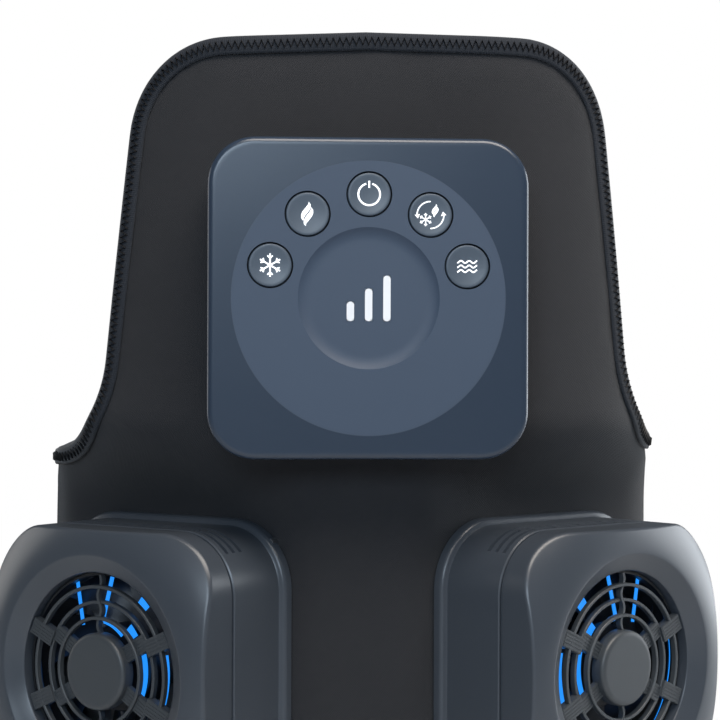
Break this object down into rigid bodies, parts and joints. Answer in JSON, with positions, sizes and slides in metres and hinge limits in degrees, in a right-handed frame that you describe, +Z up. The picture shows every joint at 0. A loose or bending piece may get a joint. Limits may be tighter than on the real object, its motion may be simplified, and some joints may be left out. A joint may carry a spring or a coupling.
{
  "type": "hot cold therapy machine",
  "caption": "Knee wrap of soft foam fabric with a square push-button control above the kneecap and fan-cooled hot and cold plates at both sides, closed by straps behind.",
  "frame": {"origin": "on the leg's axis, level with the middle of the two side plates", "axes": "+Z up along the leg, towards the thigh; -Y out of the front, where the control is; +X to the right as seen from the front"},
  "size_m": [0.181, 0.1389, 0.3032],
  "materials": {
    "neoprene": "matte black knit over foam rubber",
    "binding_tape": "matte woven tape",
    "webbing": "matte elastic webbing",
    "hook_loop": "hook and loop tape",
    "control_shell": "satin grey-blue",
    "button_plastic": "satin grey-blue with a pale pictogram",
    "light_guide": "translucent white",
    "blue_light": "translucent, lit blue",
    "module_shell": "satin grey",
    "trim": "gloss black",
    "fan_plastic": "moulded black",
    "dark_plastic": "moulded black",
    "cable_jacket": "flat ribbon, black",
    "foam": "closed-cell foam, matte",
    "keypad_rubber": "silicone, matte",
    "board": "green solder mask",
    "pouch_cell": "foil pouch",
    "ceramic": "white ceramic",
    "aluminium": "brushed",
    "steel": "bright"
  },
  "bodies": {
    "wrap": {"battery_pack": "pouch_cell", "charge_port": "steel", "circuit_board": "board", "clamp_plate": "dark_plastic", "control_back_shell": "control_shell", "control_front_cover": "control_shell", "control_screw_1": "steel", "control_screw_2": "steel", "control_screw_3": "steel", "control_screw_4": "steel", "edge_binding": "binding_tape", "keypad_mat": "keypad_rubber", "left_cable": "cable_jacket", "left_clamp_frame": "dark_plastic", "left_cold_plate": "aluminium", "left_fan_frame": "fan_plastic", "left_front_cover": "module_shell", "left_grille": "module_shell", "left_heat_sink": "aluminium", "left_housing": "module_shell", "left_insulation_frame": "foam", "left_light_ring": "blue_light", "left_peltier_module": "ceramic", "left_screw_1": "steel", "left_screw_2": "steel", "left_trim_ring": "trim", "level_light": "light_guide", "lower_loop_patch": "hook_loop", "lower_strap_root": "webbing", "mounting_pad": "foam", "right_cable": "cable_jacket", "right_clamp_frame": "dark_plastic", "right_cold_plate": "aluminium", "right_fan_frame": "fan_plastic", "right_front_cover": "module_shell", "right_grille": "module_shell", "right_heat_sink": "aluminium", "right_housing": "module_shell", "right_insulation_frame": "foam", "right_light_ring": "blue_light", "right_peltier_module": "ceramic", "right_screw_1": "steel", "right_screw_2": "steel", "right_trim_ring": "trim", "upper_loop_patch": "hook_loop", "upper_strap_root": "webbing", "vibration_motor": "steel", "wrap_body": "neoprene"},
    "cold_key": {"cold_button": "button_plastic"},
    "heat_key": {"heat_button": "button_plastic"},
    "power_key": {"power_button": "button_plastic"},
    "contrast_key": {"contrast_button": "button_plastic"},
    "vibration_key": {"vibration_button": "button_plastic"},
    "left_fan_wheel": {"left_fan_rotor": "fan_plastic"},
    "right_fan_wheel": {"right_fan_rotor": "fan_plastic"},
    "vibration_wheel": {"eccentric_weight": "steel"},
    "upper_strap_free": {"upper_strap": "webbing", "upper_hook_tab": "hook_loop"},
    "lower_strap_free": {"lower_strap": "webbing", "lower_hook_tab": "hook_loop"}
  },
  "joints": [
    {"name": "cold_press", "type": "slide", "parent": "wrap", "child": "cold_key", "axis": [0, 1, 0], "range_m": [0, 0.0006], "stiffness_N_per_m": 1500},
    {"name": "heat_press", "type": "slide", "parent": "wrap", "child": "heat_key", "axis": [0, 1, 0], "range_m": [0, 0.0006], "stiffness_N_per_m": 1500},
    {"name": "power_press", "type": "slide", "parent": "wrap", "child": "power_key", "axis": [0, 1, 0], "range_m": [0, 0.0006], "stiffness_N_per_m": 1500},
    {"name": "contrast_press", "type": "slide", "parent": "wrap", "child": "contrast_key", "axis": [0, 1, 0], "range_m": [0, 0.0006], "stiffness_N_per_m": 1500},
    {"name": "vibration_press", "type": "slide", "parent": "wrap", "child": "vibration_key", "axis": [0, 1, 0], "range_m": [0, 0.0006], "stiffness_N_per_m": 1500},
    {"name": "left_fan_spin", "type": "hinge", "parent": "wrap", "child": "left_fan_wheel", "pos_m": [-0.04451, -0.03718, 0], "axis": [-0.6074, -0.7944, 0], "continuous": true},
    {"name": "right_fan_spin", "type": "hinge", "parent": "wrap", "child": "right_fan_wheel", "pos_m": [0.04451, -0.03718, 0], "axis": [0.6074, -0.7944, 0], "continuous": true},
    {"name": "vibration_spin", "type": "hinge", "parent": "wrap", "child": "vibration_wheel", "pos_m": [0, -0.067, 0.0666], "axis": [1, 0, 0], "continuous": true},
    {"name": "upper_strap_open", "type": "hinge", "parent": "wrap", "child": "upper_strap_free", "pos_m": [-0.05949, 0.04654, 0.024], "axis": [0, 0, 1], "range_deg": [0, 80]},
    {"name": "lower_strap_open", "type": "hinge", "parent": "wrap", "child": "lower_strap_free", "pos_m": [-0.05949, 0.04654, -0.024], "axis": [0, 0, 1], "range_deg": [0, 80]}
  ]
}
